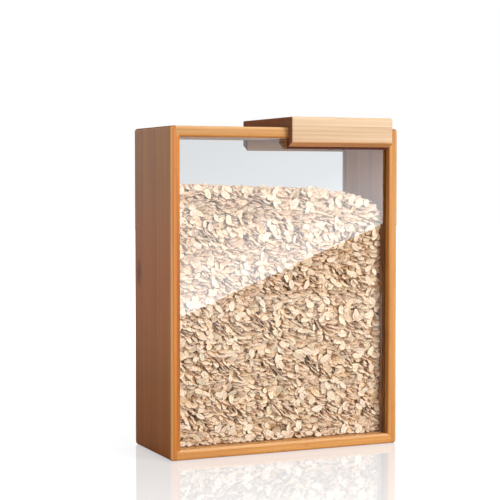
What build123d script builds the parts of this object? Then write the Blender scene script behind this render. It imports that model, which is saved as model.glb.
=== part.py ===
from build123d import *

import os

# A flat bamboo cereal dispenser: a carcass of four boards with a clear pane front and back,
# and a lid that wraps over the top board and slides along it to open the pouring mouth.
# Frame: +X right, +Y back, +Z up, with the origin on the floor under the middle of the box.
# All sizes are in millimetres.

# Carcass: two side panels, with the top and base boards let into rebates at their ends
BOX_WIDTH = 240.0
BOX_DEPTH = 100.0
BOX_HEIGHT = 312.0
SIDE_THICKNESS = 10.0
TOP_THICKNESS = 10.0
BASE_THICKNESS = 10.0
REBATE_DEPTH = 4.2
CORNER_ROUND = 3.0
EDGE_ROUND = 2.5

# Clear panes: they stand in grooves round the inside of the carcass
PANE_THICKNESS = 3.0
PANE_INSET = 7.0
GROOVE_DEPTH = 3.5
PANE_FACE_GAP = 0.15
PANE_END_GAP = 0.5

# Sliding lid: a plate between two fascias, with runners that hook under the top board.
# Each runner ends in a thin lip, which shows below the bevel at the fascia's foot.
LID_LENGTH = 109.4
PLATE_THICKNESS = 9.7
FASCIA_THICKNESS = 7.5
BEVEL_HEIGHT = 4.7
RUNNER_HEIGHT = 10.2
RUNNER_REACH = 5.0
RUNNER_LAND = 3.0
RUNNER_TAPER = 1.6
RUNNER_LIP = 1.2
LIP_THICKNESS = 1.4
LID_ROUND = 1.5
SLIDE_GAP = 0.3
SIDE_GAP = 0.5
END_GAP = 0.3

# Pouring mouth: a cut-out in the top board, which the closed lid covers
MOUTH_COVER = 10.0
MOUTH_LAND = 20.0
MOUTH_CORNER = 6.0

# The space between the boards
clear_width = BOX_WIDTH - 2 * SIDE_THICKNESS
ceiling = BOX_HEIGHT - TOP_THICKNESS
board_length = clear_width + 2 * REBATE_DEPTH

# The panes, from the grooves that hold them
groove_width = PANE_THICKNESS + 2 * PANE_FACE_GAP
groove_floor = BASE_THICKNESS - GROOVE_DEPTH
groove_roof = ceiling + GROOVE_DEPTH
pane_width = clear_width + 2 * (GROOVE_DEPTH - PANE_END_GAP)
pane_middle = BOX_DEPTH / 2 - PANE_INSET - PANE_THICKNESS / 2

# The closed lid, which stops against the right side panel
lid_right = clear_width / 2 - END_GAP
lid_left = lid_right - LID_LENGTH
lid_travel = clear_width - 2 * END_GAP - LID_LENGTH
lid_inside = BOX_DEPTH / 2 + SIDE_GAP
lid_outside = lid_inside + FASCIA_THICKNESS
runner_tip = lid_inside - RUNNER_REACH
plate_under = BOX_HEIGHT + SLIDE_GAP
lid_top = plate_under + PLATE_THICKNESS
runner_top = ceiling - SLIDE_GAP
lid_foot = runner_top - RUNNER_HEIGHT
hook_inside = runner_tip + RUNNER_TAPER
lip_outside = hook_inside + LIP_THICKNESS
bevel_foot = lid_foot + RUNNER_LIP

# The mouth, centred under the closed lid
mouth_length = LID_LENGTH - 2 * MOUTH_COVER
mouth_depth = BOX_DEPTH - 2 * MOUTH_LAND
mouth_middle = (lid_left + lid_right) / 2


def block(x_span, y_span, z_span):
    """A plain block between two limits on each axis, given in either order."""
    spans = [sorted(span) for span in (x_span, y_span, z_span)]
    middle = [(low + high) / 2 for low, high in spans]
    sides = [high - low for low, high in spans]
    return Pos(*middle) * Box(*sides)


def centred(length, middle=0):
    """The limits of a length on either side of a middle."""
    return middle - length / 2, middle + length / 2


def carcass_blank():
    """The four boards as one rounded ring, before they are parted at the rebates."""
    outside = block(centred(BOX_WIDTH), centred(BOX_DEPTH), (0, BOX_HEIGHT))
    outside = fillet(outside.edges().filter_by(Axis.Y), CORNER_ROUND)
    ring = outside - block(centred(clear_width), centred(BOX_DEPTH), (BASE_THICKNESS, ceiling))
    rims = ring.faces().filter_by(Axis.Y).edges()
    return fillet(rims, EDGE_ROUND)


def pane_slots(length):
    """The front and back slots that the panes stand in, cut to a length across the carcass."""
    front, back = [
        block(centred(length), centred(groove_width, middle), (groove_floor, groove_roof))
        for middle in (-pane_middle, pane_middle)
    ]
    return front + back


def side_panel(blank, hand):
    """A side panel with end rebates and stopped grooves. The hand is -1 for left and 1 for right."""
    outer = hand * BOX_WIDTH / 2
    web = block((outer, hand * board_length / 2), centred(BOX_DEPTH), (0, BOX_HEIGHT))
    body = block((outer, hand * clear_width / 2), centred(BOX_DEPTH), (BASE_THICKNESS, ceiling))
    panel = blank & (web + body)
    return panel - pane_slots(clear_width + 2 * GROOVE_DEPTH)


def cross_board(blank, under, over):
    """A board that lies between the side panels, grooved from end to end."""
    board = blank & block(centred(board_length), centred(BOX_DEPTH), (under, over))
    return board - pane_slots(board_length)


def pouring_mouth(board):
    """The top board with the mouth cut through it and its upper edge eased."""
    outline = RectangleRounded(mouth_length, mouth_depth, MOUTH_CORNER)
    cut = Pos(mouth_middle, 0, ceiling) * extrude(outline, TOP_THICKNESS)
    opened = board - cut
    upper_face = opened.faces().sort_by(Axis.Z)[-1]
    return fillet(upper_face.inner_wires()[0].edges(), EDGE_ROUND)


def pane(middle):
    """A clear pane, standing on the floor of the base board's groove."""
    height = (groove_floor, groove_roof - PANE_END_GAP)
    return block(centred(pane_width), centred(PANE_THICKNESS, middle), height)


def lid_blank():
    """The lid's whole section, carried along the top board and rounded, before it is parted."""
    back_half = [
        (lid_outside, lid_top),
        (lid_outside, bevel_foot + BEVEL_HEIGHT),
        (lip_outside, bevel_foot),
        (lip_outside, lid_foot),
        (hook_inside, lid_foot),
        (runner_tip, runner_top - RUNNER_LAND),
        (runner_tip, runner_top),
        (lid_inside, runner_top),
        (lid_inside, plate_under),
    ]
    front_half = [(-y, z) for y, z in reversed(back_half)]
    section = Plane.YZ * make_face(Polyline(*back_half, *front_half, close=True))
    lid = Pos(lid_left, 0, 0) * extrude(section, LID_LENGTH)
    front_to_back = lid.faces().sort_by(Axis.Y)
    skin = ShapeList([front_to_back[0], front_to_back[-1], lid.faces().sort_by(Axis.Z)[-1]])
    return fillet(skin.edges(), LID_ROUND)


def lid_pieces(blank):
    """The lid's boards, parted along their glue lines."""
    along = (lid_left, lid_right)
    boards = {"lid_plate": blank & block(along, centred(2 * lid_inside), (plate_under, lid_top))}
    for place, hand in (("front", -1), ("back", 1)):
        fascia = block(along, (hand * lid_inside, hand * lid_outside), (lid_foot, lid_top))
        runner = block(along, (hand * runner_tip, hand * lid_inside), (lid_foot, runner_top))
        boards[f"lid_{place}_fascia"] = blank & fascia
        boards[f"lid_{place}_runner"] = blank & runner
    return boards


def dispenser():
    """Every piece of the dispenser, by its plain name, with the lid closed."""
    carcass = carcass_blank()
    pieces = {
        "left_side_panel": side_panel(carcass, -1),
        "right_side_panel": side_panel(carcass, 1),
        "base_board": cross_board(carcass, 0, BASE_THICKNESS),
        "top_board": pouring_mouth(cross_board(carcass, ceiling, BOX_HEIGHT)),
        "front_pane": pane(-pane_middle),
        "back_pane": pane(pane_middle),
    }
    pieces.update(lid_pieces(lid_blank()))
    return pieces


os.makedirs("parts", exist_ok=True)
for name, piece in dispenser().items():
    export_step(piece, f"parts/{name}.step")
print(f"lid travel {lid_travel:.1f} mm, mouth {mouth_length:.1f} x {mouth_depth:.1f} mm")
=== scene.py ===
# %% [markdown]
# # A bamboo cereal dispenser
#
# The dispenser is a flat box of varnished bamboo boards with a clear pane front and back, and a lid that slides
# along its top. Its boards, panes and lid are already exact solids, so this lesson loads them as a fixed frame
# and leaves their shapes alone. What Blender adds is the finish of each piece, the rolled oats that the box is
# shown with, and a plain studio. Blender works in metres, and the origin is on the floor under the box.

# %% Load the frame
import math

import bpy
import numpy as np
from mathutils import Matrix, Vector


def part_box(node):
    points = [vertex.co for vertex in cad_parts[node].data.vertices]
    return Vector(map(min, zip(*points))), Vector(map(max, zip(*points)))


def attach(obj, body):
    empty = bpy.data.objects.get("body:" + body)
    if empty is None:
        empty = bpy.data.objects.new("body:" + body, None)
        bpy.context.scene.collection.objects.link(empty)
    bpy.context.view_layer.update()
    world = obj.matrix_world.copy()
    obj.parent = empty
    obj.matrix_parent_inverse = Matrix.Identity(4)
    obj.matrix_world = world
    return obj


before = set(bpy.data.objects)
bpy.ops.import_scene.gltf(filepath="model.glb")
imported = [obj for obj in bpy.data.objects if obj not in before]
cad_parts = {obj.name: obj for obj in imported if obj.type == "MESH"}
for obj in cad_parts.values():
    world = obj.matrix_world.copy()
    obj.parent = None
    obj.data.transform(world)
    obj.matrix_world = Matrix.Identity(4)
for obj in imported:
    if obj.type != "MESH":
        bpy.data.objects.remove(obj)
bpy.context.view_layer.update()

scene = bpy.context.scene
MM = 0.001

# %% [markdown]
# ## The room inside the box
#
# The oats have to stay between the boards and the panes. Numbers could be typed in, but those that are read from
# the solids can't go out of date. They are turned into millimetres, in which a maker thinks at this size.

# %% Measure the inside


def corners(node):
    """The lowest and highest corner of a solid, in millimetres."""
    return [np.array(corner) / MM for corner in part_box(node)]


inside_left = corners("left_side_panel")[1][0]
inside_right = corners("right_side_panel")[0][0]
inside_front = corners("front_pane")[1][1]
inside_back = corners("back_pane")[0][1]
inside_floor = corners("base_board")[1][2]
outside_back = corners("back_pane")[1][1]
print(f"inside: {inside_right - inside_left:.1f} wide, {inside_back - inside_front:.1f} deep")

# %% [markdown]
# ## Shader sums as plain expressions
#
# A finish is a graph of nodes, and placing each node by hand soon hides what is being worked out. A wire is one
# socket of that graph. Adding or multiplying wires and numbers puts a Math node into the graph and gives back its
# result, so that a sum in a shader reads like a sum in Python. Colours would turn grey in Math nodes.

# %% A socket that can be added and multiplied


def sum_method(operation, reflected=False):
    """A sum of one or two sides. A reflected one has its two sides the other way round, as in 1 - mask."""

    def method(wire, *other):
        sides = (*other, wire) if reflected else (wire, *other)
        return wire.finish.add("Math", {"operation": operation}, dict(enumerate(sides)))

    return method


class Wire:
    """One output socket of a finish."""

    def __init__(self, finish, socket):
        self.finish = finish
        self.socket = socket

    __add__ = sum_method("ADD")
    __radd__ = sum_method("ADD", reflected=True)
    __sub__ = sum_method("SUBTRACT")
    __rsub__ = sum_method("SUBTRACT", reflected=True)
    __mul__ = sum_method("MULTIPLY")
    __rmul__ = sum_method("MULTIPLY", reflected=True)
    __truediv__ = sum_method("DIVIDE")
    __pow__ = sum_method("POWER")
    larger = sum_method("MAXIMUM")
    floor = sum_method("FLOOR")
    fraction = sum_method("FRACT")
    size = sum_method("ABSOLUTE")

    def output(self, name):
        """Another output of the same node."""
        return Wire(self.finish, self.socket.node.outputs[name])

    def between(self, low=0.0, high=1.0):
        return self.finish.add("Clamp", {}, {"Value": self, "Min": low, "Max": high})

    def ramp(self, start, end):
        """0 at the start and before it, 1 at the end and beyond it, and a straight line from one to the other."""
        return ((self - start) / (end - start)).between()

    def split(self):
        """The three parts of a vector."""
        parts = self.finish.add("SeparateXYZ", {}, {"Vector": self})
        return [parts.output(axis) for axis in "XYZ"]


print("wires can be added and multiplied")

# %% One method for every other node


class Finish:
    """The node graph of a material, a lamp or the world, built one node at a time."""

    def __init__(self, tree):
        tree.nodes.clear()
        self.tree = tree

    def add(self, kind, settings=None, sockets=None):
        """A node of one kind. Its settings are set first, then its sockets get numbers, colours or wires."""
        node = self.tree.nodes.new("ShaderNode" + kind)
        for name, value in (settings or {}).items():
            if name == "stops":
                self.set_stops(node.color_ramp.elements, value)
            else:
                setattr(node, name, value)
        for name, value in (sockets or {}).items():
            if isinstance(name, int):
                socket = node.inputs[name]
            else:
                socket = next(s for s in node.inputs if s.enabled and s.name == name)
            if isinstance(value, Wire):
                self.tree.links.new(value.socket, socket)
            else:
                socket.default_value = value
        live = [socket for socket in node.outputs if socket.enabled]
        return Wire(self, live[0]) if live else None

    def set_stops(self, elements, stops):
        """Stops of a colour ramp, as pairs of a place and a colour."""
        while len(elements) < len(stops):
            elements.new(1.0)
        for element, (place, colour) in zip(elements, stops):
            element.position = place
            element.color = (*colour, 1.0)

    def blend(self, share, first, second):
        """A colour between two others."""
        sockets = {"Factor": share, "A": first, "B": second}
        return self.add("Mix", {"data_type": "RGBA"}, sockets)

    def vector(self, x, y, z):
        return self.add("CombineXYZ", {}, {"X": x, "Y": y, "Z": z})

    def noise(self, place, detail):
        """Smooth noise from 0 to 1 that varies once in about one unit of place."""
        return self.add("TexNoise", {}, {"Vector": place, "Scale": 1.0, "Detail": detail})

    def scale(self, vector, factor):
        """A vector or colour times a number."""
        return self.add("VectorMath", {"operation": "SCALE"}, {"Vector": vector, "Scale": factor})

    def place_mm(self):
        """The point's own place on the object, in millimetres."""
        return self.scale(self.add("TexCoord").output("Object"), 1 / MM)

    def close(self, shader, output="OutputMaterial"):
        """Leads a shader to the output that shows it."""
        self.add(output, {}, {"Surface": shader})


def new_finish(name):
    """An empty material and its node graph."""
    material = bpy.data.materials.new(name)
    material.use_nodes = True
    return material, Finish(material.node_tree)


print("a finish adds nodes by kind, settings and sockets")

# %% [markdown]
# ## Bamboo boards
#
# Laminated bamboo is made of strips about 19 mm wide, glued side by side into a sheet, and three such sheets are
# pressed into one board. So a face shows broad strips, an edge shows three thin layers, and an end shows the cut
# ends of them all. A picture wrapped round a board would break at every corner. Here each point of the solid asks
# which strip and layer it is in and takes its tone from there, so faces, edges and ends agree, as on a sawn board.

# %% Strips and layers of one board
STRIP_WIDTH = 19.0
LAYERS = 3
LAYER_SHIFT = 0.37
SEED_SHIFT = 0.61
JOINT_WIDTH = 0.25
HAIR = 0.001


def strips_and_layers(finish, across, through, thickness, seed):
    """Three random numbers that are constant in one strip of one layer, and a mask of the glue lines.

    The layer is the whole part of depth over layer thickness, and the strip is the whole part of breadth over
    strip width, shifted from layer to layer. A glue line is where either is close to a whole number.
    """
    layer_thickness = thickness / LAYERS
    depth = (through / layer_thickness).between(HAIR, LAYERS - HAIR)
    layer = depth.floor()
    breadth = across / STRIP_WIDTH + layer * LAYER_SHIFT + seed * SEED_SHIFT
    key = finish.vector(breadth.floor(), layer, seed)
    dice = finish.add("TexWhiteNoise", {"noise_dimensions": "3D"}, {"Vector": key})
    from_side = 0.5 - (breadth.fraction() - 0.5).size()
    side_line = (1 - from_side * (STRIP_WIDTH / JOINT_WIDTH)).between()
    from_layer = ((depth - LAYERS / 2).size() - 0.5).size()
    layer_line = (1 - from_layer * (layer_thickness / JOINT_WIDTH)).between()
    return dice.output("Color").split(), side_line.larger(layer_line)


print(f"strips {STRIP_WIDTH} mm wide in {LAYERS} layers")

# %% [markdown]
# Along the grain, bamboo has fine straight fibres, broader streaks, and a faint darker knuckle where the living
# cane had a joint. The fibres are noise that is stretched along the grain. Each strip shifts that noise by its own
# random amounts, so that no fibre runs on from one strip into the next.

# %% Fibres, streaks and knuckles
FIBRE = {"along": 0.012, "across": 1.1, "detail": 3.0, "shift": (90, 70)}
STREAK = {"along": 0.005, "across": 0.38, "detail": 2.0, "shift": (50, 40)}
KNUCKLE_PITCH = 270.0
STREAK_WANDER = 6.0
FIBRE_WANDER = 4.0
LINE_WIDTH, LINE_SHARE = 2.2, 0.55
HALO_WIDTH, HALO_SHARE = 11.0, 0.25


def stretched_noise(finish, spot, chance, along, across, detail, shift):
    """Noise that is slow along the grain and fast across it, shifted by the strip's own chance."""
    x, y, z = spot
    place = finish.vector(x * along + chance[0] * shift[0], y * across, z * across + chance[1] * shift[1])
    return finish.noise(place, detail)


def grain_of(finish, spot, chance):
    """Fibre noise, streak noise and a mask of the knuckles.

    A knuckle comes back at every pitch along the grain, at a place of its own in each strip. It is a thin line
    in a broad faint halo, and it wanders a little with the streaks and fibres.
    """
    fibre = stretched_noise(finish, spot, chance[:2], **FIBRE)
    streak = stretched_noise(finish, spot, chance[1:], **STREAK)
    wander = (streak - 0.5) * STREAK_WANDER + (fibre - 0.5) * FIBRE_WANDER
    pitches = (spot[0] + wander + chance[2] * KNUCKLE_PITCH) / KNUCKLE_PITCH
    away = (pitches.fraction() - 0.5).size() * KNUCKLE_PITCH
    return fibre, streak, away.ramp(LINE_WIDTH, 0) * LINE_SHARE + away.ramp(HALO_WIDTH, 0) * HALO_SHARE


print(f"a knuckle every {KNUCKLE_PITCH:.0f} mm in each strip")

# %% [markdown]
# A cut end drinks more varnish than a face does, and looks dark and dull. An underside is seen mostly in light that
# other wood throws back at it, so that light is painted on it as orange. Inside the box, between the panes, the top
# board's underside is painted paler instead, also as painted light.

# %% Faces, ends and undersides
STRIP_TONE, STREAK_TONE, FIBRE_TONE = 0.5, 1.3, 0.8
KNUCKLE_BROWN, KNUCKLE_SHARE = (0.36, 0.15, 0.05, 1.0), 0.4
END_BROWN, END_SHARE = (0.26, 0.06, 0.016, 1.0), 0.75
# Painted light: undersides are tinted orange for light thrown back by other wood, and the top board's underside between
# the panes is painted paler.
UNDER_BOUNCE_ORANGE, UNDER_BOUNCE_SHARE = (0.78, 0.26, 0.045, 1.0), 0.7
PALE_UNDER_LIGHT, PALE_UNDER_LIGHT_SHARE = (0.9, 0.78, 0.66, 1.0), 0.8


def face_tones(finish, palette, strip, fibre, streak, knuckle):
    """A tone from 0 to 1, out of the strip's random number, the streaks and the fibres, picks from the palette."""
    tone = 0.5 + (strip - 0.5) * STRIP_TONE + (streak - 0.5) * STREAK_TONE + (fibre - 0.5) * FIBRE_TONE
    stops = list(zip((0.0, 0.5, 1.0), palette))
    wood = finish.add("ValToRGB", {"stops": stops}, {"Fac": tone.between()})
    return finish.blend(knuckle * KNUCKLE_SHARE, wood, KNUCKLE_BROWN)


def end_and_under_tones(finish, wood, node, places, normals, end_grain):
    """Dark ends, undersides painted orange as bounced light, and painted paler light on the underside between the
    panes.
    """
    under = (0 - normals["Z"]).between()
    wood = finish.blend(end_grain * END_SHARE, wood, END_BROWN)
    wood = finish.blend(under * UNDER_BOUNCE_SHARE, wood, UNDER_BOUNCE_ORANGE)
    if node == "top_board":
        between_panes = (inside_back - places["Y"].size()).between()
        wood = finish.blend(under * between_panes * PALE_UNDER_LIGHT_SHARE, wood, PALE_UNDER_LIGHT)
    return wood


print("tones of faces, ends and undersides ready")

# %% [markdown]
# ## Painted light and shade along the edges
#
# Outside, the eased edges are painted with highlights, paler on most boards and greyer on the right panel. Inside
# the frame the corners are painted dark as shade, most of all in the narrow recess in front of a pane. A rounding
# faces partly sideways and partly to the front or back, so twice the product of those two parts of its normal finds
# it: that is 1 at 45 degrees and nothing on a flat face.

# %% Outer face of a side panel
# Painted light and shade on the outer faces: a paler stretch half way up, a darker red foot, and highlights along the
# roundings, paler on the left and greyer on the right.
MIDDLE_LIGHT, MIDDLE_LIGHT_SHARE = (1.0, 0.34, 0.18, 1.0), 0.35
MIDDLE_LIGHT_HEIGHT, MIDDLE_LIGHT_REACH = 165.0, 95.0
FOOT_SHADE_RED, FOOT_SHADE_SHARE = (0.48, 0.1, 0.012, 1.0), 0.4
FOOT_SHADE_HEIGHT = 130.0
MARK_BROWN, MARK_SHARE = (0.13, 0.045, 0.03, 1.0), 0.65
MARK_MIDDLE = {"Y": 37.0, "Z": 172.0}
MARK_HALF = {"Y": 8.0, "Z": 16.0}
LEFT, RIGHT = "left_side_panel", "right_side_panel"
ROUNDING_LIGHT = {LEFT: (0.95, 0.55, 0.27, 1.0), RIGHT: (0.5, 0.37, 0.21, 1.0)}
ROUNDING_LIGHT_SHARE = 0.6


def outer_tones(finish, wood, node, places, outward, rounding):
    """A side panel's outer face: painted light half way up, painted shade redder towards the foot, and painted
    highlights along its roundings.

    The pale stretch fades with the square of the distance, and so does the left panel's dark oval mark.
    """
    outside = outward.between()
    up = (places["Z"] - MIDDLE_LIGHT_HEIGHT) / MIDDLE_LIGHT_REACH
    wood = finish.blend((1 - up * up).between() * outside * MIDDLE_LIGHT_SHARE, wood, MIDDLE_LIGHT)
    foot = places["Z"].ramp(FOOT_SHADE_HEIGHT, 0) * outside
    wood = finish.blend(foot * FOOT_SHADE_SHARE, wood, FOOT_SHADE_RED)
    if node == LEFT:
        beside, above = [(places[axis] - MARK_MIDDLE[axis]) / MARK_HALF[axis] for axis in "YZ"]
        mark = (1 - beside * beside - above * above).between() * outside
        wood = finish.blend(mark * MARK_SHARE, wood, MARK_BROWN)
    return finish.blend((outward * rounding).between() * ROUNDING_LIGHT_SHARE, wood, ROUNDING_LIGHT[node])


print(f"red foot {FOOT_SHADE_HEIGHT:.0f} mm high")

# %% Front edge and inner face of a side panel
# Painted shade: a dark band down the front edge next to the opening, a slight darkening of the left front edge, and
# dark inner roundings.
INNER_SHADE, INNER_SHADE_SHARE = (0.34, 0.08, 0.01, 1.0), 0.75
INNER_SHADE_GAIN = 1.5
FRONT_SHADE_SHARE = {LEFT: 0.12, RIGHT: 0.0}
BAND_SHADE_SHARE = {LEFT: 0.65, RIGHT: 0.2}
BAND_FROM, BAND_TO = 4.6, 3.0
BAND_MIDDLE, BAND_REACH = 125.0, 150.0
# Painted shade in the recess in front of each pane, in the corner behind it, and on the runner's lip.
RECESS_SHADE_BROWN, RECESS_SHADE_SHARE = (0.1, 0.014, 0.003, 1.0), 0.9
RECESS_WIDTH, RECESS_FULL = 1.6, 0.4
CORNER_SHADE = 8.0
CORNER_TOP, CORNER_FULL = 225.0, 213.0
SQUARE = 0.9


def inner_shade_tones(finish, wood, node, places, normals, inward, rounding):
    """Painted shade in a band down the front edge, next to the opening, and on the roundings inside it."""
    from_inside = places["X"].size() - inside_right
    along_band = (places["Z"] - BAND_MIDDLE) / BAND_REACH
    band = from_inside.ramp(BAND_FROM, BAND_TO) * (1 - along_band * along_band).between()
    edge = (FRONT_SHADE_SHARE[node] + band * BAND_SHADE_SHARE[node]) * normals["Y"].size()
    wood = finish.blend(edge, wood, INNER_SHADE)
    inner_rounding = (inward**4 * rounding * INNER_SHADE_GAIN).between()
    return finish.blend(inner_rounding * INNER_SHADE_SHARE, wood, INNER_SHADE)


def recess_tones(finish, wood, places, inward):
    """Painted shade on the inner face: full in front of a pane, and fading behind it in the corner by the oats."""
    from_middle = places["Y"].size()
    before_pane = from_middle.ramp(inside_back, inside_back + 1)
    corner = from_middle.ramp(inside_back - CORNER_SHADE, inside_back) * places["Z"].ramp(CORNER_TOP, CORNER_FULL)
    out_to = from_middle.ramp(outside_back + RECESS_WIDTH, outside_back + RECESS_FULL)
    recess = before_pane.larger(corner) * out_to * inward.ramp(SQUARE, 1)
    return finish.blend(recess * RECESS_SHADE_SHARE, wood, RECESS_SHADE_BROWN)


print(f"recess shade {RECESS_WIDTH} mm wide in front of the panes")

# %% Edges of every board
# Painted highlights along the upper edges of the level boards, where they face the light from above.
UPPER_EDGE_LIGHT = (0.95, 0.6, 0.31, 1.0)
UPPER_EDGE_LIGHT_BOARD, UPPER_EDGE_LIGHT_LID = 0.5, 0.2
LIP_FROM, LIP_TO = 48.0, 48.5


def side_panel_tones(finish, wood, node, places, normals):
    """A side panel's outer face, its painted inner shade and its painted recess shade, in that order."""
    rounding = normals["Y"].size() * 2
    outward = (places["X"] * normals["X"] / inside_right).between(-1.0, 1.0)
    inward = (0 - outward).between()
    wood = outer_tones(finish, wood, node, places, outward, rounding)
    wood = inner_shade_tones(finish, wood, node, places, normals, inward, rounding)
    return recess_tones(finish, wood, places, inward)


def edge_tones(finish, wood, node, places, normals):
    """A level board has painted highlights along its upper edges, and a runner has painted shade on the lip under the
    bevel.
    """
    if node.endswith("side_panel"):
        return side_panel_tones(finish, wood, node, places, normals)
    if node.endswith("runner"):
        # Painted shade on the runner's lip that shows under the bevel.
        return finish.blend(places["Y"].size().ramp(LIP_FROM, LIP_TO), wood, RECESS_SHADE_BROWN)
    upper_edge = normals["Z"].between() * normals["Y"].size() * 2
    share = UPPER_EDGE_LIGHT_LID if node.startswith("lid") else UPPER_EDGE_LIGHT_BOARD
    return finish.blend(upper_edge.between() * share, wood, UPPER_EDGE_LIGHT)


print("tones of the edges ready")

# %% [markdown]
# ## The finish of one board
#
# The varnish is satin: the fibres break its gloss a little, and cut ends and the inside of the box are dull. Glue
# lines are darker and lie slightly lower than the fibres.

# %% Put the bamboo together
GLUED_WIDTH = 0.35
GLUE_SHADE = 0.25
END_FROM, END_TO = 0.5, 0.75
FIBRE_HEIGHT, GLUE_HEIGHT, KNUCKLE_HEIGHT = 0.5, 0.5, 0.3
GRAIN_BUMP = {"Strength": 0.18, "Distance": 0.0004}
SATIN, FIBRE_ROUGHNESS, END_ROUGHNESS, INNER_ROUGHNESS = 0.36, 0.2, 0.5, 0.4
INNER_REACH = 20.0


def bamboo(node, grain, across, through, palette, glued, seed):
    """A bamboo finish for one board. The three axes say how the board was cut, and glued names its joint axis."""
    material, finish = new_finish("bamboo_" + node)
    places = dict(zip("XYZ", finish.place_mm().split()))
    normals = dict(zip("XYZ", finish.add("TexCoord").output("Normal").split()))
    low, high = [dict(zip("XYZ", corner)) for corner in corners(node)]
    spot = places[grain], places[across] - low[across], places[through] - low[through]
    thickness = high[through] - low[through]
    chance, glue = strips_and_layers(finish, spot[1], spot[2], thickness, seed)
    if glued:
        middle, half = (low[glued] + high[glued]) / 2, (high[glued] - low[glued]) / 2
        from_joint = half - (places[glued] - middle).size()
        glue = glue.larger(from_joint.ramp(GLUED_WIDTH, 0))
    fibre, streak, knuckle = grain_of(finish, spot, chance)
    end_grain = normals[grain].size().ramp(END_FROM, END_TO)

    wood = face_tones(finish, palette, chance[0], fibre, streak, knuckle)
    wood = end_and_under_tones(finish, wood, node, places, normals, end_grain)
    wood = edge_tones(finish, wood, node, places, normals)
    wood = finish.scale(wood, 1 - glue * GLUE_SHADE)

    height = fibre * FIBRE_HEIGHT - glue * GLUE_HEIGHT - knuckle * KNUCKLE_HEIGHT
    bump = finish.add("Bump", {}, {"Height": height, **GRAIN_BUMP})
    inner = ((0 - places[through] * normals[through]) / INNER_REACH).between()
    rough = SATIN + (fibre - 0.5) * FIBRE_ROUGHNESS + end_grain * END_ROUGHNESS + inner * INNER_ROUGHNESS
    skin = {"Base Color": wood, "Roughness": rough, "Normal": bump, "Specular IOR Level": 0.3}
    finish.close(finish.add("BsdfPrincipled", {}, skin))
    return material


print(f"satin varnish of roughness {SATIN}")

# %% [markdown]
# Each board was cut its own way. The table gives the axes along its grain, across its strips and through its layers,
# then its tones, the axis of any glued joints that show, and a seed that makes its strips differ from the next's.

# %% The boards and how each was cut
LEFT_TONES = [(0.465, 0.14, 0.019), (0.635, 0.213, 0.029), (0.745, 0.3, 0.058)]
RIGHT_TONES = [(0.46, 0.176, 0.037), (0.605, 0.26, 0.066), (0.71, 0.353, 0.106)]
TOP_TONES = [(0.45, 0.185, 0.046), (0.59, 0.285, 0.08), (0.69, 0.375, 0.128)]
LID_TONES = [(0.494, 0.289, 0.142), (0.609, 0.399, 0.233), (0.698, 0.499, 0.318)]
BASE_TONES = [(0.44, 0.152, 0.032), (0.585, 0.245, 0.062), (0.7, 0.34, 0.1)]

BOARDS = [
    ("left_side_panel", "Z", "Y", "X", LEFT_TONES, None, 0.0),
    ("right_side_panel", "Z", "Y", "X", RIGHT_TONES, None, 1.0),
    ("base_board", "X", "Y", "Z", BASE_TONES, "X", 2.0),
    ("top_board", "X", "Y", "Z", TOP_TONES, "X", 3.0),
    ("lid_plate", "X", "Y", "Z", LID_TONES, "Y", 4.0),
    ("lid_front_fascia", "X", "Z", "Y", LID_TONES, None, 150.78),
    ("lid_back_fascia", "X", "Z", "Y", LID_TONES, None, 6.0),
    ("lid_front_runner", "X", "Z", "Y", LID_TONES, None, 7.0),
    ("lid_back_runner", "X", "Z", "Y", LID_TONES, None, 8.0),
]


def dress(node, material):
    """Gives a solid its finish, in every slot that it has."""
    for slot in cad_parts[node].material_slots:
        slot.material = material


for board in BOARDS:
    dress(board[0], bamboo(*board))
print(len(BOARDS), "bamboo boards finished")

# %% [markdown]
# ## Clear panes
#
# The panes are polished clear acrylic. A full glass shader bends light at every surface, and is slow and grainy for
# the inside of a box. A flat sheet hardly bends what is seen through it, so here it only tints what passes and mirrors
# a share: 7% head on, for both faces together, and more towards the edge of sight, by the usual short form of the
# Fresnel law. Only the outer face mirrors, towards an eye outside the box, so there is one clean image.

# %% Finish of the panes
PANE_TINT = (0.982, 0.985, 0.988, 1.0)
MIRROR_SHARE = 0.07
WHITE = (1.0, 1.0, 1.0, 1.0)


def clear_pane():
    """A clear finish: see-through, with a mirror share of m + (1 - m) facing^5 on the outer face.

    The outer face is the one whose normal points away from the middle of the box, front or back.
    """
    material, finish = new_finish("clear_pane")
    facing = finish.add("LayerWeight", {}, {"Blend": 0.5}).output("Facing")
    own = finish.add("TexCoord")
    outward = own.output("Normal").split()[1] * own.output("Object").split()[1]
    outer_face = (outward / MM).between()
    seen_from_front = 1 - finish.add("NewGeometry").output("Backfacing")
    share = (MIRROR_SHARE + (1 - MIRROR_SHARE) * facing**5) * outer_face * seen_from_front
    through = finish.add("BsdfTransparent", {}, {"Color": PANE_TINT})
    mirror = finish.add("BsdfGlossy", {}, {"Color": WHITE, "Roughness": 0.0})
    finish.close(finish.add("MixShader", {}, {"Fac": share, 1: through, 2: mirror}))
    return material


pane_finish = clear_pane()
for node in ("front_pane", "back_pane"):
    dress(node, pane_finish)
print("panes finished")

# %% [markdown]
# ## The heap of oats
#
# The box is shown with rolled oats in it. They lie level on the left and fall away to the right, where some have
# been poured out. A heap of this kind is a surface over the floor of the box, so one height function describes it,
# and every other piece of the heap asks that function where the top is.

# %% Height of the heap
HEAP_MIDDLE = 252.5
HEAP_LEFT_RISE = 3.5
HEAP_RIGHT_SLOPE = 14.0
HEAP_RIGHT_LIP = 16.0


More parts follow.
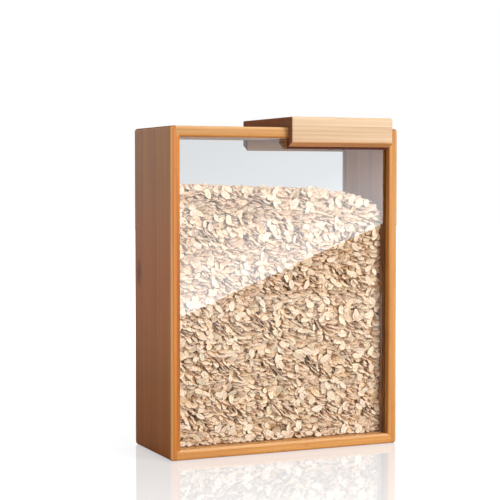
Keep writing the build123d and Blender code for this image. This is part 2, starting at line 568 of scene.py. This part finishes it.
def heap_height(x):
    """The heap's height at a place across the box.

    Left of the middle it rises in a straight line. Right of the middle it falls with the square of the distance,
    and by the wall it drops more steeply, with the ninth power.
    """
    left = np.clip(x / inside_left, 0, 1)
    right = np.clip(x / inside_right, 0, 1)
    return HEAP_MIDDLE + HEAP_LEFT_RISE * left - HEAP_RIGHT_SLOPE * right**2 - HEAP_RIGHT_LIP * right**9


print("heap at left, middle and right:", heap_height(np.array([inside_left, 0.0, inside_right])).round(1))

# %% [markdown]
# ## One rolled oat, and thousands
#
# A rolled oat is a thin oval flake about 10 mm long and 6 mm wide, slightly wavy round its edge and curled. Thousands
# of separate objects would be slow to handle. All flakes of one layer go into one array instead, with one row each,
# and every line below works on all of them at once.

# %% Sizes and shape of the flakes
SEGMENTS = 7
FLAKE_POINTS = 2 + 2 * SEGMENTS
HALF_LENGTH, HALF_LENGTH_SPREAD = 4.9, 0.8
HALF_LENGTH_LIMITS = (3.3, 6.7)
WIDTH_SHARE = (0.46, 0.7)
THICKNESS = (0.6, 1.0)
WAVE_OF_TWO, WAVE_OF_THREE = 0.08, 0.07
RING_HEIGHTS = (0.5, 0.4, -0.4, -0.5)
BEND_SPREADS = (0.45, 0.3, 0.5)
random = np.random.default_rng(20)


def flake_sizes(count):
    """Half length, half width and thickness of each flake, in millimetres."""
    half_length = np.clip(random.normal(HALF_LENGTH, HALF_LENGTH_SPREAD, count), *HALF_LENGTH_LIMITS)
    half_width = half_length * random.uniform(*WIDTH_SHARE, count)
    thickness = random.uniform(*THICKNESS, count)
    return np.stack([half_length, half_width, thickness], axis=1)


def flake_points(sizes):
    """Points of each flake about its own middle, and the same points as leaf coordinates.

    The points are the front middle, a front ring, a back ring and the back middle. A ring point at angle t is
    (a cos t, b sin t) times 1 + two slow waves in t. The rings stand apart, so that the flake has a blunt edge.
    Then curl (x/a)^2 + roll (y/b)^2 + twist xy/(ab) bends the flake.
    """
    count = len(sizes)
    half_length, half_width, thickness = sizes.T[:, :, None]
    angle = np.linspace(0, 2 * np.pi, SEGMENTS, endpoint=False)
    phase = random.uniform(0, 2 * np.pi, (2, count, 1))
    wave = 1 + WAVE_OF_TWO * np.sin(2 * angle + phase[0]) + WAVE_OF_THREE * np.sin(3 * angle + phase[1])
    ring_x, ring_y = np.cos(angle) * wave, np.sin(angle) * wave
    middle = np.zeros((count, 1))
    x = np.concatenate([middle, ring_x, ring_x, middle], axis=1)
    y = np.concatenate([middle, ring_y, ring_y, middle], axis=1)
    proud = np.repeat(RING_HEIGHTS, [1, SEGMENTS, SEGMENTS, 1])
    curl, roll, twist = random.normal(0, BEND_SPREADS, (count, 3)).T[:, :, None]
    bend = curl * x**2 + roll * y**2 + twist * x * y
    points = np.stack([x * half_length, y * half_width, proud * thickness + bend], axis=2)
    tone = np.repeat(random.uniform(0, 1, (count, 1)), FLAKE_POINTS, axis=1)
    return points, np.stack([x, y, tone], axis=2)


print(f"flakes {2 * HALF_LENGTH:.1f} mm long on average, with {FLAKE_POINTS} points each")

# %% Triangles of the flakes


def flake_triangles(count):
    """Triangles of all flakes: a fan, a band of two triangles a segment, and a fan behind."""
    here = np.arange(SEGMENTS)
    there = np.roll(here, -1)
    front, near, far, back = 0, 1, 1 + SEGMENTS, 1 + 2 * SEGMENTS
    faces = [
        (here * 0 + front, near + here, near + there),
        (near + here, far + here, far + there),
        (near + here, far + there, near + there),
        (here * 0 + back, far + there, far + here),
    ]
    pattern = np.concatenate([np.stack(face, axis=1) for face in faces])
    starts = np.arange(count) * FLAKE_POINTS
    return (starts[:, None, None] + pattern).reshape(-1, 3)


print(len(flake_triangles(1)), "triangles in a flake")

# %% [markdown]
# ## How the flakes lie
#
# Flakes behind a pane don't lie at random. In some patches they rest flat on the pane. In others they lie in
# nearly level stacks, as they fell, and show only their edges. Slow waves over the surface decide which patch is
# which and how its stacks slope. A flake is first turned in its own plane and then tilted about an axis in the surface.

# %% Turning matrices


def rows(*lines):
    """Square matrices from three lines of three arrays each."""
    return np.stack([np.stack(line, axis=-1) for line in lines], axis=-2)


def tilting(tilt, heading):
    """Turns by a tilt about the direction (cos h, sin h, 0), by the usual formula for a turn about an axis."""
    c, s, kx, ky = np.cos(tilt), np.sin(tilt), np.cos(heading), np.sin(heading)
    return rows(
        [c + kx * kx * (1 - c), kx * ky * (1 - c), ky * s],
        [kx * ky * (1 - c), c + ky * ky * (1 - c), -kx * s],
        [-ky * s, kx * s, c],
    )


def spinning(spin):
    """Turns by a spin about the third axis."""
    c, s, zero, one = np.cos(spin), np.sin(spin), np.zeros_like(spin), np.ones_like(spin)
    return rows([c, -s, zero], [s, c, zero], [zero, zero, one])


print("a quarter turn of spin moves x to", spinning(np.array([np.pi / 2]))[0, :, 0].round(3))

# %% Tilt and turn of each flake
PATCH_WAVES = (17.0, 24.0, 39.0)
PATCH_MIX = 0.8
SLOPE_WAVES = (29.0, 43.0)
STACK_SLOPE = 0.35
STACK_SPREAD = 0.2
STACK_LIMITS = (0.3, 1.32)
FLAT_SPREAD = 0.38
FLAT_LIMIT = 0.9


def slow_waves(p, q, wavelengths):
    """A smooth field over a surface: a sum of one sine for each wavelength, each with a random heading."""
    field = np.zeros_like(p)
    for wavelength in wavelengths:
        heading, phase = random.uniform(0, 2 * np.pi, 2)
        along = p * np.cos(heading) + q * np.sin(heading)
        field += np.sin(2 * np.pi * along / wavelength + phase)
    return field


def flake_turns(p, q, edge_share, edge_tilt):
    """A turning matrix for each flake: tilt about a heading in the surface, after a spin in its own plane."""
    patch = slow_waves(p, q, PATCH_WAVES) + random.normal(0, PATCH_MIX, p.shape)
    on_edge = patch < np.quantile(patch, edge_share)
    flat_tilt = np.clip(random.normal(0, FLAT_SPREAD, p.shape), -FLAT_LIMIT, FLAT_LIMIT)
    flat_heading = random.uniform(0, 2 * np.pi, p.shape)
    stack_tilt = -np.clip(random.normal(edge_tilt, STACK_SPREAD, p.shape), *STACK_LIMITS)
    stack_heading = STACK_SLOPE * slow_waves(p, q, SLOPE_WAVES) + random.normal(0, STACK_SPREAD, p.shape)
    tilt = np.where(on_edge, stack_tilt, flat_tilt)
    heading = np.where(on_edge, stack_heading, flat_heading)
    spin = random.uniform(0, 2 * np.pi, p.shape) - heading
    return tilting(tilt, heading) @ spinning(spin)


print(f"flat flakes tilt up to {math.degrees(FLAT_LIMIT):.0f} degrees")

# %% [markdown]
# A physics simulation of more than ten thousand flakes would take hours. Here they settle one after another on a grid
# of heights. Each tries a few random places, and at each it moves towards the surface until its plane touches what is
# there. It takes the place where others lift it least, and adds its thickness to the grid. So gaps are filled first,
# and no flake cuts far into another. Only this step goes flake by flake, because each rests on those before it.

# %% Settle the flakes
GRID = 0.5
CHOICES = 6
TOUCH = 0.88


def settle(place, turns, sizes, ground, bare, low, towards, deepest):
    """Which flakes are laid, which of its places each takes, and the height at which it comes to rest there.

    The ground is a grid of heights. A flake's plane rises by the slope of its turn. It rests where the plane
    touches nearly the highest ground under its outline, and then the ground there rises to the flake's far face.
    A flake that would be lifted more than the deepest is left out, because nobody would see it.
    """
    outline = turns[..., :2, :2] * sizes[:, None, None, :2]
    inverse = np.linalg.inv(outline)
    slope = towards * np.einsum("nci,ncij->ncj", turns[..., 2, :2] * sizes[:, None, :2], inverse)
    thickness = sizes[:, 2, None] / np.abs(turns[..., 2, 2])
    radius = np.hypot(outline[..., 0], outline[..., 1])
    first = np.maximum(np.floor((place - radius - low) / GRID).astype(int), 0)
    last = np.ceil((place + radius - low) / GRID).astype(int) + 1
    taken = np.zeros(len(place), int)
    rest = np.zeros(len(place))
    laid = np.zeros(len(place), bool)
    for flake in range(len(place)):
        best = np.inf
        for choice in range(CHOICES):
            (p0, q0), (p1, q1) = first[flake, choice], last[flake, choice]
            patch = ground[p0:p1, q0:q1]
            dp = (low[0] + GRID * (p0 + np.arange(patch.shape[0])) - place[flake, choice, 0])[:, None]
            dq = (low[1] + GRID * (q0 + np.arange(patch.shape[1])) - place[flake, choice, 1])[None, :]
            ways = inverse[flake, choice]
            u, v = ways[0, 0] * dp + ways[0, 1] * dq, ways[1, 0] * dp + ways[1, 1] * dq
            under = u * u + v * v < 1
            plane = slope[flake, choice, 0] * dp + slope[flake, choice, 1] * dq
            nearly = int(TOUCH * np.count_nonzero(under))
            level = np.sort((patch - plane)[under])[nearly]
            on_bare = np.sort((bare[p0:p1, q0:q1] - plane)[under])[nearly]
            if level - on_bare < best:
                best = level - on_bare
                taken[flake], rest[flake] = choice, level
                chosen = patch, under, plane
        if best < deepest:
            patch, under, plane = chosen
            far_face = plane + rest[flake] + thickness[flake, taken[flake]]
            patch[under] = np.maximum(patch, far_face)[under]
            laid[flake] = True
    laid = np.flatnonzero(laid)
    taken = taken[laid]
    return laid, taken, rest[laid] + thickness[laid, taken] / 2


print(f"{CHOICES} places for each flake to try, on a grid of {GRID} mm")

# %% [markdown]
# ## Laying the layers
#
# There are three layers of flakes: one behind each pane and one over the top of the heap. They settle alike and
# differ only in which way they face. A layer has its own flat coordinates, p and q along the surface and n out of
# the heap. A first sweep lays flakes from top to bottom, and then more of them fill what is still bare.

# %% Places for the flakes to try
SWEEP_BAND = 0.05


def swept_places(count, low, high, top_of):
    """Tries for each flake, in one sweep of the surface from top to bottom."""
    p = random.uniform(low[0], high[0], (count, CHOICES))
    front = np.linspace(1, 0, count)[:, None]
    share = np.clip(front + random.uniform(-SWEEP_BAND, SWEEP_BAND, (count, CHOICES)), 0, 1)
    return np.stack([p, low[1] + (top_of(p) - low[1]) * share], axis=2)


def gap_places(count, low, top_of, ground, bare):
    """Tries for each flake at points of the grid that no flake covers yet."""
    p, q = (low + GRID * np.argwhere(ground == bare)).T
    below_top = q < top_of(p)
    gaps = np.stack([p, q], axis=1)[below_top]
    print(f"{len(gaps) / (len(gaps) + np.count_nonzero(ground > bare)):.1%} of the layer is still bare")
    return gaps[random.integers(0, len(gaps), (count, CHOICES))]


print(f"the sweep is {2 * SWEEP_BAND:.0%} of the height wide")

# %% Lay a layer
AREA_FOR_ONE = 6.4
FILL_SHARE = 0.25
SWEPT_DEPTH = 4.0
FILL_DEPTH = 9.0
CLEAR = 0.3


def lay_flakes(place, low, high, ground, bare, towards, edge_share, edge_tilt, deepest):
    """Points and leaf coordinates of flakes that settle at one of the places that each may try."""
    sizes = flake_sizes(len(place))
    turns = flake_turns(place[..., 0], place[..., 1], edge_share, edge_tilt)
    reach = np.hypot(*np.moveaxis(turns[..., :2, :2] * sizes[:, None, None, :2], -1, 0))
    place = np.clip(place, low + reach + CLEAR, high - reach - CLEAR)
    laid, taken, height = settle(place, turns, sizes, ground, bare, low, towards, deepest)
    print(f"{len(laid)} flakes laid of {len(place)}")
    local, leaf = flake_points(sizes[laid])
    points = np.einsum("nij,nkj->nki", turns[laid, taken], local)
    points[..., :2] += place[laid, taken][:, None, :]
    points[..., 2] += towards * height[:, None]
    below = np.maximum(low + CLEAR - points[..., :2].min(axis=1), 0)
    above = np.maximum(points[..., :2].max(axis=1) - high + CLEAR, 0)
    points[..., :2] += (below - above)[:, None, :]
    return points, leaf


def lay_layer(span_p, span_q, top_of, ground_of, towards, edge_share, edge_tilt):
    """Points and leaf coordinates of one layer, in the layer's own p, q and n."""
    low = np.array([span_p[0], span_q[0]])
    high = np.array([span_p[1], span_q[1]])
    cells = np.ceil((high - low) / GRID).astype(int) + 1
    bare = ground_of(low[0] + GRID * np.arange(cells[0]))[:, None] + np.zeros(cells[1])
    ground = bare.copy()
    count = int((high - low).prod() / AREA_FOR_ONE)
    lie = (low, high, ground, bare, towards, edge_share, edge_tilt)
    swept = lay_flakes(swept_places(count, low, high, top_of), *lie, SWEPT_DEPTH)
    filled = lay_flakes(gap_places(int(count * FILL_SHARE), low, top_of, ground, bare), *lie, FILL_DEPTH)
    return [np.concatenate(pair) for pair in zip(swept, filled)]


print(f"one flake for every {AREA_FOR_ONE} square millimetres")

# %% [markdown]
# ## From arrays to meshes
#
# A mesh is points, and triangles that name their points by number. Adding them one at a time is slow in Python, so
# whole arrays are handed over at once. An attribute carries more numbers for each point, which a finish can read.

# %% Put arrays into a mesh


def mesh_piece(name, points, triangles, finish):
    """A smooth piece from points in millimetres and triangles, riding on the box."""
    mesh = bpy.data.meshes.new(name)
    mesh.vertices.add(len(points))
    mesh.vertices.foreach_set("co", np.ascontiguousarray(points * MM, dtype=np.float32).ravel())
    mesh.loops.add(triangles.size)
    mesh.loops.foreach_set("vertex_index", np.ascontiguousarray(triangles, dtype=np.int32).ravel())
    mesh.polygons.add(len(triangles))
    mesh.polygons.foreach_set("loop_start", np.arange(0, triangles.size, 3, dtype=np.int32))
    mesh.update(calc_edges=True)
    mesh.shade_smooth()
    mesh.materials.append(finish)
    piece = bpy.data.objects.new(name, mesh)
    scene.collection.objects.link(piece)
    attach(piece, "box")
    print(f"{name}: {len(triangles)} triangles")
    return piece


def add_attribute(mesh, name, kind, field, values):
    """Gives each point of a mesh a number or a vector of its own."""
    attribute = mesh.attributes.new(name, kind, "POINT")
    attribute.data.foreach_set(field, np.ascontiguousarray(values, dtype=np.float32).ravel())


def crisp_rims(mesh):
    """Marks the edges round each flake's two faces as sharp: both ends are on the same ring of the flake."""
    ends = np.zeros(2 * len(mesh.edges), np.int32)
    mesh.edges.foreach_get("vertices", ends)
    ring = (ends.reshape(-1, 2) % FLAKE_POINTS - 1) // SEGMENTS
    mesh.edges.foreach_set("use_edge_sharp", ring[:, 0] == ring[:, 1])


print("meshes take whole arrays")

# %% [markdown]
# ## Finish of the oats
#
# A flake is cream to tan, browner at its rim (partly bran, partly a painted shadow outline), with a crease along its
# middle and specks of bran. The mesh is too coarse to carry those, so each flake brings its own flat coordinates as
# an attribute: x and y from -1 to 1, and a random tone. The crease and the rim are drawn from these, sharp at any
# distance. A second attribute says how deep a point is buried, and there the flakes are painted more orange as shade.

# %% Colour of a flake
CREAM = (0.99, 0.85, 0.66, 1.0)
TAN = (0.9, 0.62, 0.38, 1.0)
TONE_PALE, BLOTCH_PALE, MOTTLE_PALE, LEAST_PALE = 0.5, 0.6, 1.2, 0.3
HUSK = (0.81, 0.74, 0.48, 1.0), 0.45, 7.3
ROSE = (0.96, 0.71, 0.58, 1.0), 0.5, 17.9
# Painted shade: flakes that lie deeper in the heap turn more orange.
DEEP_SHADE_ORANGE, DEEP_SHADE_SHARE = (0.92, 0.58, 0.27, 1.0), 0.9


def flake_colour(finish, tone, blotch, mottle):
    """Tan to cream by tone and noise, then some husk green or rose, then painted orange shade where the flake is
    buried.

    The tone times a large number, less its whole part, is as good as another random number. Its square is
    mostly small, so only a few flakes take much of the husk or the rose.
    """
    pale = tone * TONE_PALE + (blotch - 0.5) * BLOTCH_PALE + (mottle - 0.5) * MOTTLE_PALE + LEAST_PALE
    colour = finish.blend(pale.between(), TAN, CREAM)
    for tint, share, turns in (HUSK, ROSE):
        chance = (tone * turns).fraction()
        colour = finish.blend(chance * chance * share, colour, tint)
    buried = finish.add("Attribute", {"attribute_name": "buried"}).output("Fac")
    return finish.blend(buried * DEEP_SHADE_SHARE, colour, DEEP_SHADE_ORANGE)


print("flakes are tan to cream")

# %% Rim, crease and bran of a flake
BLOTCH_SCALE, SPECK_SCALE, MOTTLE_SCALE = 0.5, 1.6, 0.9
BRAN = (0.44, 0.18, 0.06, 1.0)
RIM_FROM, RIM_TO = 0.68, 1.03
CREASE_HALF = 0.13
SPECK_FROM, SPECK_TO = 0.58, 0.78
# The brown rim is partly bran and partly a painted shadow outline round each flake.
RIM_BRAN_AND_SHADE, CREASE_BRAN, SPECK_BRAN = 0.5, 0.35, 0.25
SPECK_HEIGHT, MOTTLE_HEIGHT, CREASE_HEIGHT = 0.4, 1.2, 0.6
FLAKE_BUMP = {"Strength": 0.6, "Distance": 0.0006}
FLAKE_SKIN = {"Roughness": 0.72, "Specular IOR Level": 0.1}


def oat_finish():
    """The flake's colour, brown by squared radius at the rim (bran and a painted shadow outline), along the line y = 0
    and in specks.
    """
    material, finish = new_finish("rolled_oats")
    x, y, tone = finish.add("Attribute", {"attribute_name": "leaf"}).output("Vector").split()
    place = finish.place_mm()
    blotch = finish.noise(finish.scale(place, BLOTCH_SCALE), 2.0)
    speck = finish.noise(finish.scale(place, SPECK_SCALE), 1.0)
    mottle = finish.noise(finish.scale(place, MOTTLE_SCALE), 3.0)
    rim = (x * x + y * y).ramp(RIM_FROM, RIM_TO)
    crease = y.size().ramp(CREASE_HALF, 0) * (1 - x * x).between()
    specks = speck.ramp(SPECK_FROM, SPECK_TO)
    brown = rim * RIM_BRAN_AND_SHADE + crease * CREASE_BRAN + specks * SPECK_BRAN
    colour = finish.blend(brown.between(), flake_colour(finish, tone, blotch, mottle), BRAN)
    height = speck * SPECK_HEIGHT + mottle * MOTTLE_HEIGHT - crease * CREASE_HEIGHT
    bump = finish.add("Bump", {}, {"Height": height, **FLAKE_BUMP})
    skin = {"Base Color": colour, "Normal": bump, **FLAKE_SKIN}
    finish.close(finish.add("BsdfPrincipled", {}, skin))
    return material


oats = oat_finish()
print("oats finished")

# %% [markdown]
# ## The flakes that show
#
# A small table of axes turns each layer from its own coordinates into the box's. The layer behind a pane is cut in
# two at half height, so that no piece gets too large. By the right wall the oats stand back from the pane, as they
# do where a heap has slid away from a corner.

# %% Turn a layer into the box
BURIED_FROM, BURIED_TO = 2.5, 7.5
LAYER_AXES = {
    "front": ((0, inside_front, 0), ((1, 0, 0), (0, 0, 1), (0, -1, 0))),
    "back": ((0, inside_back, 0), ((-1, 0, 0), (0, 0, 1), (0, 1, 0))),
    "top": ((0, 0, 0), ((1, 0, 0), (0, 1, 0), (0, 0, 1))),
}


def lay_oats(name, side, points, leaf, depth):
    """Flakes of a layer turned from its own coordinates into the box's."""
    origin, axes = LAYER_AXES[side]
    placed = points.reshape(-1, 3) @ np.array(axes, float) + np.array(origin)
    piece = mesh_piece(name, placed, flake_triangles(len(points)), oats)
    crisp_rims(piece.data)
    buried = np.clip((depth - BURIED_FROM) / (BURIED_TO - BURIED_FROM), 0, 1)
    add_attribute(piece.data, "leaf", "FLOAT_VECTOR", "vector", leaf)
    add_attribute(piece.data, "buried", "FLOAT", "value", buried)


print("layers:", ", ".join(LAYER_AXES))

# %% Flakes behind the panes
PANE_STACKS = {"edge_share": 0.58, "edge_tilt": 1.12}
HEADROOM = 6.0
BELOW_TOP = 1.0
FALL_BACK = 8.0
FALL_WIDTH = 8.0

across_box = (inside_left, inside_right)
up_the_pane = (inside_floor, HEAP_MIDDLE + HEAP_LEFT_RISE + HEADROOM)
heap_half = (inside_floor + HEAP_MIDDLE) / 2
for side, hand in (("front", 1), ("back", -1)):
    points, leaf = lay_layer(
        across_box,
        up_the_pane,
        lambda p: heap_height(hand * p) - BELOW_TOP,
        lambda p: FALL_BACK * np.clip((hand * p - inside_right) / FALL_WIDTH + 1, 0, 1) ** 2,
        towards=-1,
        **PANE_STACKS,
    )
    poke = np.maximum(points[..., 2].max(axis=1) + CLEAR, 0)
    points[..., 2] -= poke[:, None]
    upper = points[..., 1].mean(axis=1) > heap_half
    for half, flakes in (("upper", upper), ("lower", ~upper)):
        lay_oats(f"oats_{side}_{half}", side, points[flakes], leaf[flakes], -points[flakes][..., 2])

# %% Flakes on top of the heap
TOP_STACKS = {"edge_share": 0.4, "edge_tilt": 0.65}
CORE_DROP = 7.0
TOP_RELIEF = 2.6
TOP_SHADE = 0.4

points, leaf = lay_layer(
    across_box,
    (inside_front, inside_back),
    lambda p: p * 0 + inside_back,
    lambda p: heap_height(p) - CORE_DROP,
    towards=1,
    **TOP_STACKS,
)
proud = np.maximum(points[..., 2].max(axis=1) - heap_height(points[..., 0].mean(axis=1)) - TOP_RELIEF, 0)
points[..., 2] -= proud[:, None]
lay_oats("oats_top", "top", points, leaf, TOP_SHADE * (heap_height(points[..., 0]) - points[..., 2]))

# %% [markdown]
# ## The core of the heap
#
# Only the outer flakes are seen, so the inside of the heap is one plain closed body behind them, which shows as
# brown shade in the gaps. It is a four-cornered section carried along the width of the box.

# %% Core of the heap
CORE_STATIONS = 60
CORE_DEPTH = 14.0
CORE_PALE, CORE_DARK = (0.5, 0.27, 0.1, 1.0), (0.22, 0.1, 0.03, 1.0)
CELL_SCALE, CELL_GAIN = 0.2, 1.4


def heap_core():
    """A closed body: at each station across the box, a rectangle from the floor to just under the heap's height."""
    x = np.linspace(inside_left + CLEAR, inside_right - CLEAR, CORE_STATIONS)
    front, back = inside_front + CORE_DEPTH, inside_back - CORE_DEPTH
    floor = np.full(CORE_STATIONS, inside_floor + CLEAR)
    top = heap_height(x) - CORE_DROP
    section = [(front, floor), (back, floor), (back, top), (front, top)]
    points = np.stack([np.stack([x, np.full(CORE_STATIONS, y), z], 1) for y, z in section], 1).reshape(-1, 3)
    corner = np.arange(4)
    following = np.roll(corner, -1)
    start = 4 * np.arange(CORE_STATIONS - 1)[:, None]
    near, far = start + corner, start + following
    sides = np.stack([near, near + 4, far + 4, near, far + 4, far], axis=2).reshape(-1, 3)
    caps = np.array([[0, 1, 2], [0, 2, 3]])
    last = 4 * (CORE_STATIONS - 1)
    return points, np.concatenate([sides, caps, last + caps[:, ::-1]])


def core_finish():
    """Brown shade between flakes, with darker and paler cells a few millimetres across."""
    material, finish = new_finish("oats_in_shade")
    place = finish.scale(finish.place_mm(), CELL_SCALE)
    cells = finish.add("TexVoronoi", {}, {"Vector": place, "Scale": 1.0})
    colour = finish.blend((cells * CELL_GAIN).between(), CORE_PALE, CORE_DARK)
    finish.close(finish.add("BsdfPrincipled", {}, {"Base Color": colour, "Roughness": 0.9}))
    return material


mesh_piece("oats_core", *heap_core(), core_finish())

# %% [markdown]
# ## The studio
#
# The dispenser stands on a white, slightly glossy table. To the camera the table and the room are plain white, and
# only the shadow and a faint reflection show. The world is white where it is seen straight or in a mirror, a little
# darker through a pane, and dimmer as a light, so that the boards keep their shading.

# %% World
AMBIENT = 0.36
SEEN_THROUGH = 0.72
DARK_FRONT = 0.08
FRONT_FADE = 4


def room_level(finish):
    """How bright the room is to one ray.

    It is white to a ray that shows it to the eye, straight or by a mirror, and dimmer to a ray that only lights.
    Through a pane it looks like grey paper, and a mirror that faces the front shows the dark behind the camera.
    """
    path = finish.add("LightPath")
    mirror = path.output("Is Glossy Ray").larger(path.output("Is Transmission Ray"))
    to_front = (0.5 - finish.add("TexCoord").output("Generated").split()[1] * FRONT_FADE).between()
    panes = path.output("Transparent Depth").between()
    paper = 1 - (1 - SEEN_THROUGH) * panes
    shown = path.output("Is Camera Ray").larger(mirror)
    white = paper * (1 - mirror * to_front * (1 - DARK_FRONT))
    return AMBIENT + shown * (white - AMBIENT)


world = bpy.data.worlds.new("studio")
scene.world = world
world.use_nodes = True
sky = Finish(world.node_tree)
sky.close(sky.add("Background", {}, {"Color": WHITE, "Strength": room_level(sky)}), "OutputWorld")
print(f"world lights at {AMBIENT} and shows white")

# %% [markdown]
# The table has to end in the white of the room without a line. So it is lifted towards white where the camera sees
# it, more so farther from the box, while the shadow and the mirror image near the box stay. Far away behind a pane it
# turns into the same grey paper as the room.

# %% Table
FLOOR_HALF = 6.0
TABLE_GREY = (0.2, 0.2, 0.2, 1.0)
BOUNCE_GREY = (0.4, 0.4, 0.4, 1.0)
TABLE_MIRROR = 0.35
NEAR_FROM, NEAR_TO = 0.1, 0.4
FAR_FROM, FAR_TO = 0.45, 1.15
LIFT, NEAR_LIFT, FAR_LIFT = 0.54, 0.2, 0.5


def floor_finish():
    """Glossy white table: a mirror share to the eye, and a lift to plain white that grows with the distance."""
    material, finish = new_finish("white_table")
    place = finish.add("TexCoord").output("Object")
    distance = finish.add("VectorMath", {"operation": "LENGTH"}, {"Vector": place}).output("Value")
    path = finish.add("LightPath")
    to_eye = path.output("Is Camera Ray")
    near = distance.ramp(NEAR_FROM, NEAR_TO)
    far = distance.ramp(FAR_FROM, FAR_TO)
    lift = (LIFT + near * NEAR_LIFT + far * FAR_LIFT) * to_eye
    dull = finish.add("BsdfDiffuse", {}, {"Color": TABLE_GREY})
    mirror = finish.add("BsdfGlossy", {}, {"Color": WHITE, "Roughness": 0.02})
    seen = finish.add("MixShader", {}, {"Fac": TABLE_MIRROR, 1: dull, 2: mirror})
    bounce = finish.add("BsdfDiffuse", {}, {"Color": BOUNCE_GREY})
    table = finish.add("MixShader", {}, {"Fac": to_eye, 1: bounce, 2: seen})
    glow = finish.add("Emission", {}, {"Color": WHITE, "Strength": lift})
    lifted = finish.add("AddShader", {}, {0: table, 1: glow})
    paper = finish.add("Emission", {}, {"Color": WHITE, "Strength": SEEN_THROUGH})
    behind_panes = path.output("Transparent Depth").between() * far * to_eye
    finish.close(finish.add("MixShader", {}, {"Fac": behind_panes, 1: lifted, 2: paper}))
    return material


floor_mesh = bpy.data.meshes.new("table_top")
floor_corners = [(FLOOR_HALF * x, FLOOR_HALF * y, 0) for x, y in ((-1, -1), (1, -1), (1, 1), (-1, 1))]
floor_mesh.from_pydata(floor_corners, [], [(0, 1, 2, 3)])
floor_mesh.materials.append(floor_finish())
floor = bpy.data.objects.new("table_top", floor_mesh)
scene.collection.objects.link(floor)
print(f"table {2 * FLOOR_HALF:.0f} m wide")

# %% [markdown]
# ## Lights
#
# The photograph has one large softbox to the right of the camera. Its mirror image whitens the upper left of the
# front pane, with a straight slanting edge, and that edge says where its lower side was, along which its cloth is
# brightest. Three plain lamps, hidden from mirrors, do most of the lighting: one from the upper right, so that the left
# side stays in shade, a low card for the front, and one behind. All four are hidden from the camera.

# %% Softbox and lamps
SOFTBOX_SLANT = 21.6
SOFTBOX = ((0.431, -1.293, 0.512), (90, -SOFTBOX_SLANT, 0), (1.1, 0.9), 19.0)
DAYLIGHT = (0.88, 0.97, 1.04)
CLOTH_FALL = [(0.0, 0.88), (0.08, 0.69), (0.15, 0.45), (0.22, 0.39), (0.3, 0.28), (1.0, 0.1)]
LAMPS = {
    "second_lamp": ((1.3, -1.75, 2.05), (49, 0, 37), (0.9, 0.9), 43.5),
    "front_card": ((0.5, -1.8, 0.35), (84, 0, 16), (1.6, 0.9), 18.5),
    "lamp_behind": ((0.9, 1.4, 0.9), (-62, 0, -33), (0.8, 0.8), 14.0),
}


def area_lamp(name, place, turn, size, power):
    """A rectangular lamp that shines along its own -Z, turned in degrees, with its power in watts."""
    lamp = bpy.data.lights.new(name, "AREA")
    lamp.shape = "RECTANGLE"
    lamp.size, lamp.size_y = size
    lamp.energy = power
    holder = bpy.data.objects.new(name, lamp)
    holder.location = place
    holder.rotation_euler = [math.radians(angle) for angle in turn]
    holder.visible_camera = False
    scene.collection.objects.link(holder)
    return holder


softbox = area_lamp("softbox", *SOFTBOX)
softbox.data.use_nodes = True
cloth = Finish(softbox.data.node_tree)
up_the_cloth = cloth.add("NewGeometry").output("Parametric").split()[1]
cloth_stops = [(place, [level * part for part in DAYLIGHT]) for place, level in CLOTH_FALL]
cloth_colour = cloth.add("ValToRGB", {"stops": cloth_stops}, {"Fac": up_the_cloth})
cloth.close(cloth.add("Emission", {}, {"Color": cloth_colour}), "OutputLight")
for name, lamp in LAMPS.items():
    area_lamp(name, *lamp).visible_glossy = False
print("softbox and", len(LAMPS), "lamps made")

# %% [markdown]
# ## Camera
#
# The corners of the box in the photograph fix the camera: a long lens, a little above the middle of the box and to
# its left, looking slightly down. A long lens from far away keeps the upright edges nearly parallel.

# %% Camera
CAMERA_DOWN = 2.74
CAMERA_TO_RIGHT = 23.94

camera_data = bpy.data.cameras.new("camera")
camera_data.lens = 103.64
camera_data.sensor_width = 36.0
camera = bpy.data.objects.new("camera", camera_data)
camera.location = (-0.5916, -1.2931, 0.2607)
camera.rotation_euler = (math.radians(90 - CAMERA_DOWN), 0, math.radians(-CAMERA_TO_RIGHT))
scene.collection.objects.link(camera)
scene.camera = camera
scene.view_settings.view_transform = "Standard"
print("camera at", tuple(round(part, 3) for part in camera.location))

# %% [markdown]
# ## The last update
#
# The dressed object must be no larger than its solids. Here the view layer is brought up to date.

# %% Update the view layer
bpy.context.view_layer.update()
